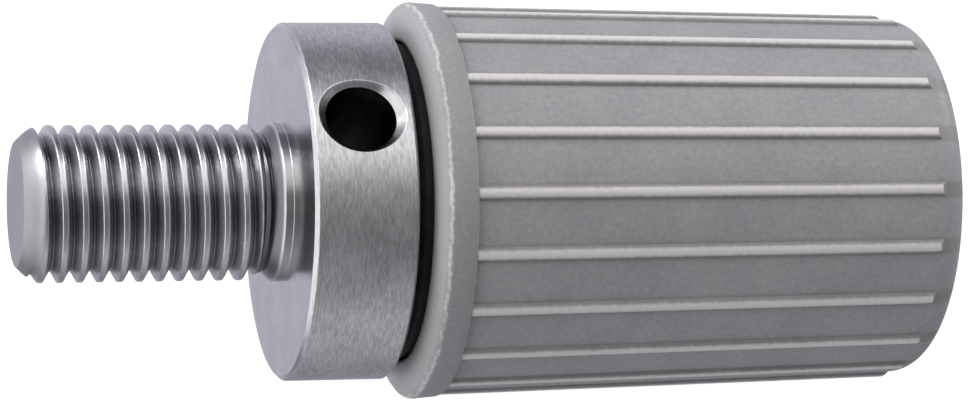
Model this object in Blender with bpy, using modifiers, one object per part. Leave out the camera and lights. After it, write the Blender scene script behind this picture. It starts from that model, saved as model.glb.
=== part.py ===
"""Stud-mounted revolving grip: a steel spindle with a threaded stud and a collar,
and a ribbed moulded sleeve that turns on two ball bearings.

Units are metres. The origin is the centre of the collar's front face, on the spindle's
axis. +X runs along that axis from the stud towards the grip's free end, and +Z is up.
The cross hole in the collar points up, along Z.
"""

import math

import bmesh
import bpy
from mathutils import Matrix, Vector

# ---------------------------------------------------------------- clearances

FIT_GAP = 0.00015            # radial, between pieces that are pressed or slid together
END_GAP = 0.0003             # axial, between faces that rest on each other
RUN_GAP = 0.0003             # radial, between pieces that turn past each other

# ---------------------------------------------------------------- spindle

STUD_LENGTH = 0.0265
THREAD_DIAMETER = 0.0157     # over the crests of an M16 thread
THREAD_PITCH = 0.002
THREAD_CREST_SHARE = 1 / 8   # flat at the crest, as a share of the pitch
THREAD_ROOT_SHARE = 1 / 4    # flat at the root, as a share of the pitch
THREAD_FLANK_ANGLE = math.radians(30)
THREAD_STEPS = 18            # facets in one turn of the thread
THREAD_OVERSHOOT = 0.0001    # how far the groove's cutter stands out of the crests
THREAD_PHASE = math.radians(330)
STUD_CHAMFER = 0.00165
RELIEF_DIAMETER = 0.0134
RELIEF_LENGTH = 0.0009
RELIEF_RUNOUT = 0.0008       # cone from the thread's crests down to the relief
NECK_DIAMETER = 0.016
NECK_LENGTH = 0.0008
NECK_CHAMFER = 0.001

COLLAR_DIAMETER = 0.036
COLLAR_LENGTH = 0.0104
COLLAR_FRONT_CHAMFER = 0.0005
COLLAR_REAR_CHAMFER = 0.0003
BAR_HOLE_DIAMETER = 0.007
BAR_HOLE_CHAMFER = 0.00095

SHOULDER_HEIGHT = 0.0015     # step behind the collar that the front bearing rests on
AXLE_END_CHAMFER = 0.0006
AXLE_END_LAND = 0.0018       # axle left beyond its circlip groove

# ---------------------------------------------------------------- ball bearings

BEARING_BORE = 0.012
BEARING_DIAMETER = 0.028
BEARING_WIDTH = 0.008
BALL_COUNT = 8
BALL_DIAMETER = 0.0044
RACE_GAP = 0.0003            # between a ball and the bottom of its raceway
RACE_LAND = 0.0013           # from the ball circle to a ring's land
RACE_STEPS = 4
CAGE_WALL = 0.0018
CAGE_BACK = 0.0030           # from the ball centres to the cage's closed side
CAGE_FRONT = 0.0009          # from the ball centres to its open side
POCKET_GAP = 0.00025
SHIELD_THICKNESS = 0.0004
SHIELD_INSET = 0.00025       # from the bearing's side face to the shield
SHIELD_STEP = 0.0006         # depth of the outer ring's seat for a shield

# ---------------------------------------------------------------- grip

GRIP_GAP = 0.0017            # from the collar to the grip's flange
GRIP_LENGTH = 0.0549
FLANGE_HEIGHT = 0.00085      # from the sleeve's wall to the flange's widest line
FLANGE_TAPER = 0.00021       # how much smaller the flange is at its rear
FLANGE_LENGTH = 0.0037
FLANGE_ROUND = 0.00126       # length of the flange's rounded front
FLANGE_REAR_ROUND = 0.0002
SLEEVE_WALL = 0.00305        # between the ribs, at the flange
SLEEVE_DRAFT = math.radians(1.026)
SLEEVE_END_ROUND = 0.0026
SLEEVE_END_WALL = 0.003
ROUND_STEPS = 4

RIB_COUNT = 20
RIB_WIDTH = 0.0013
RIB_HEIGHT = 0.0005
RIB_CROWN = 0.0007           # width of a rib's flat top
RIB_PHASE = math.radians(8.144)
RIB_SINK = 0.0004
RIB_SHOULDER_SHARE = 0.6     # height of a rib's upright sides, as a share of its height

HUB_WALL = 0.0019
HUB_STEP = 0.0014            # height of the shoulder between the two bearings
HUB_FRONT_INSET = 0.0012     # from the flange's front to the hub
HUB_REAR_GAP = 0.0015        # from the hub to the sleeve's end wall
HUB_LIP = 0.0004             # hub left in front of its circlip groove

SEAL_STAND_OUT = 0.0011      # how far the dust seal stands out of the flange
SEAL_LIP_HEIGHT = 0.0012
SEAL_LIP_LENGTH = 0.0005

REAR_BEARING_SETBACK = 0.0110   # from the sleeve's outer end to the rear bearing
SPACER_WALL = 0.0019
WASHER_THICKNESS = 0.001
WASHER_HEIGHT = 0.0024

CIRCLIP_THICKNESS = 0.001
CIRCLIP_WIDTH = 0.0024
CIRCLIP_DEPTH = 0.0007       # how deep a circlip sits in its groove
CIRCLIP_OPENING = 0.0044
CIRCLIP_LUG_RADIUS = 0.0014
CIRCLIP_LUG_HOLE = 0.0006

# ---------------------------------------------------------------- facets

SPINDLE_SEGMENTS = 36
BEARING_SEGMENTS = 24
HUB_SEGMENTS = 36
SEGMENTS_PER_RIB = 4
HOLE_SEGMENTS = 20
POCKET_SEGMENTS = 12
LUG_SEGMENTS = 12
EYE_SEGMENTS = 10
BALL_SEGMENTS = 10
BALL_RINGS = 6

# ---------------------------------------------------------------- places along X

COLLAR_REAR = COLLAR_LENGTH
FLANGE_FRONT = COLLAR_REAR + GRIP_GAP
GRIP_END = FLANGE_FRONT + GRIP_LENGTH
HUB_FRONT = FLANGE_FRONT + HUB_FRONT_INSET
HUB_REAR = GRIP_END - SLEEVE_END_WALL - HUB_REAR_GAP
BORE_GROOVE = HUB_FRONT + HUB_LIP
BORE_CIRCLIP = BORE_GROOVE + FIT_GAP
FRONT_BEARING = BORE_CIRCLIP + CIRCLIP_THICKNESS + END_GAP
REAR_BEARING = GRIP_END - REAR_BEARING_SETBACK - BEARING_WIDTH
WASHER_FRONT = REAR_BEARING + BEARING_WIDTH + END_GAP
AXLE_CIRCLIP = WASHER_FRONT + WASHER_THICKNESS + END_GAP
AXLE_END = AXLE_CIRCLIP + CIRCLIP_THICKNESS + FIT_GAP + AXLE_END_LAND

# ---------------------------------------------------------------- radii

AXLE_RADIUS = BEARING_BORE / 2 - FIT_GAP
BALL_CIRCLE = (BEARING_BORE + BEARING_DIAMETER) / 4
HUB_BORE = BEARING_DIAMETER / 2 + FIT_GAP
HUB_RADIUS = HUB_BORE + HUB_WALL
SLEEVE_BORE = HUB_RADIUS + FIT_GAP
SLEEVE_FRONT_RADIUS = SLEEVE_BORE + SLEEVE_WALL
FLANGE_RADIUS = SLEEVE_FRONT_RADIUS + FLANGE_HEIGHT
FLANGE_REAR_RADIUS = FLANGE_RADIUS - FLANGE_TAPER
SHOULDER_RADIUS = BEARING_BORE / 2 + SHOULDER_HEIGHT


def reset_scene():
    for obj in list(bpy.data.objects):
        bpy.data.objects.remove(obj, do_unlink=True)


def new_collection(name):
    collection = bpy.data.collections.new(name)
    bpy.context.scene.collection.children.link(collection)
    return collection


def new_material(name, color, roughness, metallic=0.0):
    material = bpy.data.materials.new(name)
    material.use_nodes = True
    shader = material.node_tree.nodes["Principled BSDF"]
    shader.inputs["Base Color"].default_value = (*color, 1.0)
    shader.inputs["Roughness"].default_value = roughness
    shader.inputs["Metallic"].default_value = metallic
    return material


def add_object(name, mesh, collection, material=None):
    obj = bpy.data.objects.new(name, mesh)
    collection.objects.link(obj)
    if material:
        mesh.materials.append(material)
        mesh.shade_smooth()
        mesh.set_sharp_from_angle(angle=math.radians(35))
    else:
        obj.hide_render = True
        obj.display_type = "WIRE"
    return obj


def arc(centre, radii, start, end, steps):
    """Points (x, r) on an elliptical arc, from the start angle to the end angle in degrees."""
    angles = [math.radians(start + (end - start) * i / steps) for i in range(steps + 1)]
    return [(centre[0] + radii[0] * math.cos(a), centre[1] + radii[1] * math.sin(a)) for a in angles]


def turned(name, profile, segments, collection, material=None, closed=True):
    """Turn a profile of (x, r) points round the X axis.

    Its outer side runs from high x to low x. A closed profile makes a ring, and an open
    one starts and ends on the axis.
    """
    mesh = bpy.data.meshes.new(name)
    points = [(x, r, 0.0) for x, r in profile]
    edges = [(i, i + 1) for i in range(len(points) - 1)]
    if closed:
        edges.append((len(points) - 1, 0))
    mesh.from_pydata(points, edges, [])
    obj = add_object(name, mesh, collection, material)
    screw = obj.modifiers.new("Turn", "SCREW")
    screw.axis = "X"
    screw.steps = screw.render_steps = segments
    screw.use_merge_vertices = True
    screw.merge_threshold = 0.000001
    screw.use_smooth_shade = True
    return obj


def bar(name, start, end, radius, segments, collection, end_radius=None):
    """A round bar between two points, for drilling a hole, or a cone where its end radius differs."""
    start, end = Vector(start), Vector(end)
    mesh = bpy.data.meshes.new(name)
    bm = bmesh.new()
    bmesh.ops.create_cone(bm, cap_ends=True, segments=segments, radius1=radius,
                          radius2=radius if end_radius is None else end_radius, depth=(end - start).length)
    turn = (end - start).to_track_quat("Z", "Y").to_matrix().to_4x4()
    bmesh.ops.transform(bm, matrix=Matrix.Translation((start + end) / 2) @ turn, verts=bm.verts)
    bm.to_mesh(mesh)
    bm.free()
    return add_object(name, mesh, collection)


def boolean(obj, tool, operation):
    modifier = obj.modifiers.new(tool.name, "BOOLEAN")
    modifier.object = tool
    modifier.operation = operation
    modifier.solver = "EXACT"


def about_x(angle):
    """The direction square to X that is turned from +Y towards +Z by an angle."""
    return Vector((0.0, math.cos(angle), math.sin(angle)))


# ---------------------------------------------------------------- spindle pieces

def thread_groove(collection):
    """The helical groove between the thread's crests, as one closed coil."""
    crest_radius = THREAD_DIAMETER / 2
    crest_width = THREAD_PITCH * (1 - THREAD_CREST_SHARE)
    root_width = THREAD_PITCH * THREAD_ROOT_SHARE
    depth = (crest_width - root_width) / 2 / math.tan(THREAD_FLANK_ANGLE)
    outer_half = crest_width / 2 + THREAD_OVERSHOOT * math.tan(THREAD_FLANK_ANGLE)
    section = [(-outer_half, crest_radius + THREAD_OVERSHOOT), (outer_half, crest_radius + THREAD_OVERSHOOT),
               (root_width / 2, crest_radius - depth), (-root_width / 2, crest_radius - depth)]
    start = -STUD_LENGTH - THREAD_PITCH
    turns = (STUD_LENGTH + THREAD_PITCH - NECK_LENGTH - NECK_CHAMFER - RELIEF_LENGTH / 2) / THREAD_PITCH

    bm = bmesh.new()
    previous = None
    first = None
    steps = math.floor(turns * THREAD_STEPS)
    for step in range(steps + 1):
        angle = THREAD_PHASE + 2 * math.pi * step / THREAD_STEPS
        advance = start + THREAD_PITCH * step / THREAD_STEPS
        ring = [bm.verts.new(Vector((advance + x, 0, 0)) + r * about_x(angle)) for x, r in section]
        if previous:
            for i in range(len(ring)):
                j = (i + 1) % len(ring)
                bm.faces.new((previous[i], previous[j], ring[j], ring[i]))
        else:
            first = ring
        previous = ring
    bm.faces.new(first)
    bm.faces.new(reversed(previous))
    bmesh.ops.recalc_face_normals(bm, faces=bm.faces)
    mesh = bpy.data.meshes.new("thread_groove")
    bm.to_mesh(mesh)
    bm.free()
    return add_object("thread_groove", mesh, collection)


def make_spindle(parts, tools, steel):
    thread_radius = THREAD_DIAMETER / 2
    neck_radius = NECK_DIAMETER / 2
    relief_radius = RELIEF_DIAMETER / 2
    collar_radius = COLLAR_DIAMETER / 2
    groove_radius = AXLE_RADIUS - CIRCLIP_DEPTH
    groove_front = AXLE_CIRCLIP - FIT_GAP
    groove_rear = AXLE_CIRCLIP + CIRCLIP_THICKNESS + FIT_GAP
    neck_foot = neck_radius - NECK_CHAMFER
    relief_rear = -NECK_LENGTH - NECK_CHAMFER
    relief_front = relief_rear - RELIEF_LENGTH
    profile = [
        (AXLE_END, 0.0),
        (AXLE_END, AXLE_RADIUS - AXLE_END_CHAMFER),
        (AXLE_END - AXLE_END_CHAMFER, AXLE_RADIUS),
        (groove_rear, AXLE_RADIUS),
        (groove_rear, groove_radius),
        (groove_front, groove_radius),
        (groove_front, AXLE_RADIUS),
        (FRONT_BEARING - END_GAP, AXLE_RADIUS),
        (FRONT_BEARING - END_GAP, SHOULDER_RADIUS),
        (COLLAR_REAR, SHOULDER_RADIUS),
        (COLLAR_REAR, collar_radius - COLLAR_REAR_CHAMFER),
        (COLLAR_REAR - COLLAR_REAR_CHAMFER, collar_radius),
        (COLLAR_FRONT_CHAMFER, collar_radius),
        (0.0, collar_radius - COLLAR_FRONT_CHAMFER),
        (0.0, neck_radius),
        (-NECK_LENGTH, neck_radius),
        (relief_rear, neck_foot),
        (relief_rear, relief_radius),
        (relief_front, relief_radius),
        (relief_front - RELIEF_RUNOUT, thread_radius),
        (-STUD_LENGTH + STUD_CHAMFER, thread_radius),
        (-STUD_LENGTH, thread_radius - STUD_CHAMFER),
        (-STUD_LENGTH, 0.0),
    ]
    spindle = turned("spindle", profile, SPINDLE_SEGMENTS, parts, steel, closed=False)
    boolean(spindle, thread_groove(tools), "DIFFERENCE")

    middle = COLLAR_LENGTH / 2
    reach = collar_radius + RUN_GAP
    drill = bar("bar_hole_drill", (middle, 0, -reach), (middle, 0, reach),
                BAR_HOLE_DIAMETER / 2, HOLE_SEGMENTS, tools)
    boolean(spindle, drill, "DIFFERENCE")
    for side in (1, -1):
        sink = bar(f"bar_hole_sink_{side}", (middle, 0, side * (collar_radius - BAR_HOLE_CHAMFER)),
                   (middle, 0, side * reach), BAR_HOLE_DIAMETER / 2, HOLE_SEGMENTS, tools,
                   BAR_HOLE_DIAMETER / 2 + BAR_HOLE_CHAMFER + RUN_GAP)
        boolean(spindle, sink, "DIFFERENCE")
    return spindle


# ---------------------------------------------------------------- bearings

def make_ball(name, place, parts, steel):
    mesh = bpy.data.meshes.new(name)
    bm = bmesh.new()
    bmesh.ops.create_uvsphere(bm, u_segments=BALL_SEGMENTS, v_segments=BALL_RINGS, radius=BALL_DIAMETER / 2)
    bm.to_mesh(mesh)
    bm.free()
    ball = add_object(name, mesh, parts, steel)
    ball.location = place
    return ball


def make_bearing(label, start, parts, tools, steel, nylon, shield_steel):
    """One shielded ball bearing, from x = start to start + BEARING_WIDTH."""
    middle = start + BEARING_WIDTH / 2
    half = BEARING_WIDTH / 2
    race = BALL_DIAMETER / 2 + RACE_GAP
    inner_land = BALL_CIRCLE - RACE_LAND
    outer_land = BALL_CIRCLE + RACE_LAND
    edge = math.degrees(math.asin(RACE_LAND / race))
    shield_seat = half - SHIELD_INSET - SHIELD_THICKNESS - FIT_GAP

    inner = [(middle + half, inner_land)]
    inner += arc((middle, BALL_CIRCLE), (race, race), -edge, edge - 180, RACE_STEPS)
    inner += [(middle - half, inner_land), (middle - half, BEARING_BORE / 2),
              (middle + half, BEARING_BORE / 2)]
    turned(label + "_bearing_inner_ring", inner, BEARING_SEGMENTS, parts, steel)

    outer = [(middle + half, BEARING_DIAMETER / 2), (middle - half, BEARING_DIAMETER / 2),
             (middle - half, outer_land + SHIELD_STEP), (middle - shield_seat, outer_land + SHIELD_STEP),
             (middle - shield_seat, outer_land)]
    outer += arc((middle, BALL_CIRCLE), (race, race), 180 - edge, edge, RACE_STEPS)
    outer += [(middle + shield_seat, outer_land), (middle + shield_seat, outer_land + SHIELD_STEP),
              (middle + half, outer_land + SHIELD_STEP)]
    turned(label + "_bearing_outer_ring", outer, BEARING_SEGMENTS, parts, steel)

    for side, sign in (("front", -1), ("rear", 1)):
        near = middle + sign * (half - SHIELD_INSET)
        far = near - sign * SHIELD_THICKNESS
        high, low = max(near, far), min(near, far)
        bottom, top = inner_land + RUN_GAP, outer_land + SHIELD_STEP - FIT_GAP
        ring = [(high, top), (low, top), (low, bottom), (high, bottom)]
        turned(f"{label}_bearing_{side}_shield", ring, BEARING_SEGMENTS, parts, shield_steel)

    low, high = BALL_CIRCLE - CAGE_WALL / 2, BALL_CIRCLE + CAGE_WALL / 2
    crown = [(middle + CAGE_FRONT, high), (middle - CAGE_BACK, high),
             (middle - CAGE_BACK, low), (middle + CAGE_FRONT, low)]
    cage = turned(label + "_bearing_cage", crown, BEARING_SEGMENTS, parts, nylon)
    for index in range(BALL_COUNT):
        spot = about_x(2 * math.pi * (index + 0.5) / BALL_COUNT)
        axis_point = Vector((middle, 0, 0))
        pocket = bar(f"{label}_pocket_{index + 1}", axis_point + spot * (low - CAGE_WALL),
                     axis_point + spot * (high + CAGE_WALL),
                     BALL_DIAMETER / 2 + POCKET_GAP, POCKET_SEGMENTS, tools)
        boolean(cage, pocket, "DIFFERENCE")
        make_ball(f"{label}_bearing_ball_{index + 1}", axis_point + spot * BALL_CIRCLE, parts, steel)


# ---------------------------------------------------------------- small turned pieces

def make_washer(name, start, thickness, inner, outer, parts, material):
    ring = [(start + thickness, outer), (start, outer), (start, inner), (start + thickness, inner)]
    return turned(name, ring, BEARING_SEGMENTS, parts, material)


def make_circlip(name, start, inner, outer, lug_circle, parts, tools, steel):
    """An open spring ring with two eyes for the pliers, one each side of its opening."""
    clip = make_washer(name, start, CIRCLIP_THICKNESS, inner, outer, parts, steel)
    middle = start + CIRCLIP_THICKNESS / 2
    swing = (CIRCLIP_OPENING / 2 + CIRCLIP_LUG_RADIUS) / lug_circle
    for side, angle in (("left", math.pi / 2 + swing), ("right", math.pi / 2 - swing)):
        centre = lug_circle * about_x(angle)
        front = Vector((start, 0, 0)) + centre
        rear = Vector((start + CIRCLIP_THICKNESS, 0, 0)) + centre
        boolean(clip, bar(f"{name}_{side}_lug", front, rear, CIRCLIP_LUG_RADIUS, LUG_SEGMENTS, tools), "UNION")
        through = Vector((CIRCLIP_THICKNESS, 0, 0))
        eye = bar(f"{name}_{side}_eye", front - through, rear + through, CIRCLIP_LUG_HOLE, EYE_SEGMENTS, tools)
        boolean(clip, eye, "DIFFERENCE")
    mesh = bpy.data.meshes.new(name + "_opening")
    bm = bmesh.new()
    bmesh.ops.create_cube(bm, size=1.0)
    reach = outer - inner + 4 * CIRCLIP_LUG_RADIUS
    bmesh.ops.scale(bm, vec=(3 * CIRCLIP_THICKNESS, CIRCLIP_OPENING, reach), verts=bm.verts)
    bmesh.ops.translate(bm, vec=(middle, 0, (inner + outer) / 2), verts=bm.verts)
    bm.to_mesh(mesh)
    bm.free()
    boolean(clip, add_object(name + "_opening", mesh, tools), "DIFFERENCE")
    return clip


def make_dust_seal(parts, rubber):
    """A rubber disc that closes the grip's front, with a lip that runs round the spindle."""
    inner = SHOULDER_RADIUS + RUN_GAP
    outer = SLEEVE_BORE - END_GAP
    front = FLANGE_FRONT - SEAL_STAND_OUT
    rear = HUB_FRONT - END_GAP
    lip = front + SEAL_LIP_LENGTH
    profile = [
        (rear, outer), (lip, outer), (front, outer - SEAL_LIP_LENGTH),
        (front, outer - SEAL_LIP_HEIGHT), (lip, outer - SEAL_LIP_HEIGHT - SEAL_LIP_LENGTH),
        (lip, inner), (rear, inner),
    ]
    return turned("dust_seal", profile, HUB_SEGMENTS, parts, rubber)


# ---------------------------------------------------------------- grip pieces

def make_hub(parts, plastic):
    step_radius = HUB_BORE - HUB_STEP
    step_front = FRONT_BEARING + BEARING_WIDTH + END_GAP
    step_rear = REAR_BEARING - END_GAP
    groove_rear = BORE_CIRCLIP + CIRCLIP_THICKNESS + FIT_GAP
    groove_radius = HUB_BORE + CIRCLIP_DEPTH + FIT_GAP
    profile = [
        (HUB_REAR, HUB_RADIUS), (HUB_FRONT, HUB_RADIUS), (HUB_FRONT, HUB_BORE),
        (BORE_GROOVE, HUB_BORE), (BORE_GROOVE, groove_radius),
        (groove_rear, groove_radius), (groove_rear, HUB_BORE),
        (step_front, HUB_BORE), (step_front, step_radius),
        (step_rear, step_radius), (step_rear, HUB_BORE), (HUB_REAR, HUB_BORE),
    ]
    return turned("hub_core", profile, HUB_SEGMENTS, parts, plastic)


def sleeve_radius(x):
    """Radius of the drafted sleeve between its ribs."""
    return SLEEVE_FRONT_RADIUS - math.tan(SLEEVE_DRAFT) * (x - FLANGE_FRONT - FLANGE_LENGTH)


def make_rib(name, angle, tools):
    """One rib along the sleeve, with a crowned top and a sloping rear end."""
    flange_rear = FLANGE_FRONT + FLANGE_LENGTH
    front = flange_rear - RIB_SINK
    foot = GRIP_END - SLEEVE_END_ROUND
    top_end = foot - RIB_HEIGHT
    shoulder = RIB_HEIGHT * RIB_SHOULDER_SHARE
    outward, across = about_x(angle), about_x(angle + math.pi / 2)
    bm = bmesh.new()
    for x, rise in ((front, RIB_HEIGHT), (top_end, RIB_HEIGHT), (foot, 0.0)):
        side_rise = min(rise, shoulder)
        for sign in (-1, 1):
            for width, height in ((RIB_WIDTH, -RIB_SINK), (RIB_WIDTH, side_rise), (RIB_CROWN, rise)):
                point = outward * (sleeve_radius(x) + height) + across * (sign * width / 2)
                bm.verts.new(Vector((x, 0, 0)) + point)
    hull = bmesh.ops.convex_hull(bm, input=bm.verts)
    spare = {item for item in hull["geom_interior"] + hull["geom_unused"] if isinstance(item, bmesh.types.BMVert)}
    bmesh.ops.delete(bm, geom=list(spare), context="VERTS")
    bmesh.ops.recalc_face_normals(bm, faces=bm.faces)
    mesh = bpy.data.meshes.new(name)
    bm.to_mesh(mesh)
    bm.free()
    return add_object(name, mesh, tools)


def make_sleeve(parts, tools, plastic):
    flange_rear = FLANGE_FRONT + FLANGE_LENGTH
    foot = GRIP_END - SLEEVE_END_ROUND
    end_radius = sleeve_radius(foot)
    profile = [(GRIP_END, 0.0)]
    profile += arc((foot, end_radius - SLEEVE_END_ROUND), (SLEEVE_END_ROUND, SLEEVE_END_ROUND),
                   0, 90, ROUND_STEPS)
    profile += [(flange_rear, sleeve_radius(flange_rear)),
                (flange_rear, FLANGE_REAR_RADIUS - FLANGE_REAR_ROUND),
                (flange_rear - FLANGE_REAR_ROUND, FLANGE_REAR_RADIUS)]
    profile += arc((FLANGE_FRONT + FLANGE_ROUND, SLEEVE_BORE), (FLANGE_ROUND, FLANGE_RADIUS - SLEEVE_BORE),
                   90, 180, ROUND_STEPS)
    profile += [(GRIP_END - SLEEVE_END_WALL, SLEEVE_BORE), (GRIP_END - SLEEVE_END_WALL, 0.0)]
    segments = RIB_COUNT * SEGMENTS_PER_RIB
    sleeve = turned("grip_sleeve", profile, segments, parts, plastic, closed=False)
    sleeve.rotation_euler.x = RIB_PHASE - math.pi / segments
    for index in range(RIB_COUNT):
        rib = make_rib(f"rib_{index + 1}", RIB_PHASE + 2 * math.pi * index / RIB_COUNT, tools)
        boolean(sleeve, rib, "UNION")
    return sleeve


def main():
    reset_scene()
    parts = new_collection("revolving_grip")
    tools = new_collection("cutters")

    steel = new_material("brushed_steel", (0.58, 0.58, 0.60), 0.32, 1.0)
    bearing_steel = new_material("bearing_steel", (0.70, 0.70, 0.71), 0.15, 1.0)
    spring_steel = new_material("spring_steel", (0.10, 0.10, 0.11), 0.40, 1.0)
    nylon = new_material("natural_nylon", (0.78, 0.75, 0.66), 0.50)
    hub_plastic = new_material("black_nylon", (0.03, 0.03, 0.03), 0.45)
    rubber = new_material("black_rubber", (0.015, 0.015, 0.017), 0.70)
    sleeve_plastic = new_material("grey_moulding", (0.27, 0.27, 0.28), 0.55)

    make_spindle(parts, tools, steel)
    make_dust_seal(parts, rubber)
    make_bearing("front", FRONT_BEARING, parts, tools, bearing_steel, nylon, steel)
    make_bearing("rear", REAR_BEARING, parts, tools, bearing_steel, nylon, steel)

    bore = BEARING_BORE / 2
    spacer_front = FRONT_BEARING + BEARING_WIDTH + END_GAP
    spacer_length = REAR_BEARING - END_GAP - spacer_front
    make_washer("spacer_tube", spacer_front, spacer_length, bore, bore + SPACER_WALL, parts, steel)
    make_washer("end_washer", WASHER_FRONT, WASHER_THICKNESS, bore, bore + WASHER_HEIGHT, parts, steel)

    clip_inner = AXLE_RADIUS - CIRCLIP_DEPTH + FIT_GAP
    clip_outer = clip_inner + CIRCLIP_WIDTH
    make_circlip("axle_circlip", AXLE_CIRCLIP, clip_inner, clip_outer, clip_outer, parts, tools, spring_steel)
    clip_outer = HUB_BORE + CIRCLIP_DEPTH
    clip_inner = clip_outer - CIRCLIP_WIDTH
    make_circlip("bore_circlip", BORE_CIRCLIP, clip_inner, clip_outer, clip_inner, parts, tools, spring_steel)

    make_hub(parts, hub_plastic)
    make_sleeve(parts, tools, sleeve_plastic)


main()
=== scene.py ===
# %% [markdown]
# # A stud-mounted revolving grip
# A steel spindle is screwed into a machine by its threaded stud, and a ribbed plastic sleeve turns
# round it on two ball bearings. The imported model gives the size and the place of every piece, in
# metres, with +X along the spindle from the stud to the grip's free end. This lesson puts finished
# surfaces and materials on it: the turned steel and the moulded sleeve are what shows, so those two
# get new surfaces, and the pieces inside keep their own shapes and get better materials.

# %% Load the frame
import math

import bpy
import numpy as np
from mathutils import Matrix, Vector


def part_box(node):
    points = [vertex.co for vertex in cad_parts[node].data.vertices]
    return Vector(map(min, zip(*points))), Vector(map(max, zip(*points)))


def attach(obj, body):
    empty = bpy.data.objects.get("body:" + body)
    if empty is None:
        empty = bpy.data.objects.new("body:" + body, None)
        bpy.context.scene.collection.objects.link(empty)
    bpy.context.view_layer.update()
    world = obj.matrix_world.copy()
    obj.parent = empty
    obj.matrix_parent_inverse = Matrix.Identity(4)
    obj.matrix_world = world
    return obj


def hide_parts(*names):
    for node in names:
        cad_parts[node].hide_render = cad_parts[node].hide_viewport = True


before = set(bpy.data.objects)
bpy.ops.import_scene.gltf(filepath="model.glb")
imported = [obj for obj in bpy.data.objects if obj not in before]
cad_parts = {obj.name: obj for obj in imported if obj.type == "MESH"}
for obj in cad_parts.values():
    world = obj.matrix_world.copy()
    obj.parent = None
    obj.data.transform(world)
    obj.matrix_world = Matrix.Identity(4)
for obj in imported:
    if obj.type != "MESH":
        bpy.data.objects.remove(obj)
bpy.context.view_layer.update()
MM = 0.001
scene = bpy.context.scene

# %% [markdown]
# # Driving sizes
# The frame's boxes say how far each piece reaches. New surfaces start from those sizes, so that they
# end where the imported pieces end. From here on sizes are in millimetres, which are easier to read,
# and MM turns them back into metres where a mesh or a socket needs them.


# %% Driving sizes
def box_in_mm(node):
    """The lowest and the highest corner of a node of the frame, in millimetres."""
    return [[round(value / MM, 2) for value in corner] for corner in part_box(node)]


(STUD_END, _, _), (AXLE_END, COLLAR_RADIUS, _) = box_in_mm("spindle")
(FLANGE_FRONT, _, _), (GRIP_END, _, _) = box_in_mm("grip_sleeve")
(SEAL_FRONT, _, _), (SEAL_REAR, SEAL_RADIUS, _) = box_in_mm("dust_seal")
print("spindle from", STUD_END, "to", AXLE_END, "and sleeve from", FLANGE_FRONT, "to", GRIP_END)

# %% [markdown]
# # Camera
# The grip lies on its side and is looked at from above and a little from the stud's end, with a
# long lens. A camera's three axes are the columns of its matrix: right, up, and back towards the
# viewer. Building the matrix from them is plainer than guessing three turns.

# %% Camera
AIM = Vector((21.488, -0.255, -0.136)) * MM
BACK = Vector((-0.2525, -0.4543, 0.8543)).normalized()
LEVEL_UP = Vector((0.0, 0.8829, 0.4695))
CAMERA_DISTANCE = 406.6 * MM
ROLL = math.radians(-0.589)

right = LEVEL_UP.cross(BACK).normalized()
up = BACK.cross(right)
axes = Matrix.Rotation(ROLL, 3, BACK) @ Matrix((right, up, BACK)).transposed()
camera_data = bpy.data.cameras.new("camera")
camera_data.lens = 148.2
camera_data.sensor_width = 36.0
camera_data.clip_start = 0.01
camera = bpy.data.objects.new("camera", camera_data)
camera.matrix_world = Matrix.Translation(AIM + BACK * CAMERA_DISTANCE) @ axes.to_4x4()
scene.collection.objects.link(camera)
scene.camera = camera
scene.view_settings.view_transform = "Standard"
print("camera at", [round(c / MM, 1) for c in camera.matrix_world.translation])

# %% [markdown]
# # Node maths in Python
# A finish is a sum of small patterns, and sums are easier to read as Python than as node calls.
# `Value` holds one number socket and turns + - * / into Math nodes. `Finish` is one node tree with
# the few calls the finishes need, of which `patches`, noise with features of a chosen size, is used
# most. Numbers that stay the same everywhere are set on the shader.


# %% Sockets as values
class Value:
    """A number that varies over the surface; arithmetic on it adds Math nodes."""

    def __init__(self, finish, socket):
        self.finish = finish
        self.socket = socket

    def math(self, operation, *others):
        """The result of a Math node on this number and others."""
        return self.finish.math(operation, self, *others)

    def __add__(self, other):
        return self.math("ADD", other)

    def __sub__(self, other):
        return self.math("SUBTRACT", other)

    def __mul__(self, other):
        return self.math("MULTIPLY", other)

    def __truediv__(self, other):
        return self.math("DIVIDE", other)

    def __rsub__(self, other):
        return self.finish.math("SUBTRACT", other, self)

    def __rtruediv__(self, other):
        return self.finish.math("DIVIDE", other, self)

    __radd__ = __add__
    __rmul__ = __mul__

    def step(self, low, high):
        """0 below low, 1 above high, and a smooth rise between."""
        return self.finish.rise(self, low, high, 0.0, 1.0)

    def past(self, low, high):
        """The same rise as step, between two sizes in millimetres."""
        return self.step(low * MM, high * MM)


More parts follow.
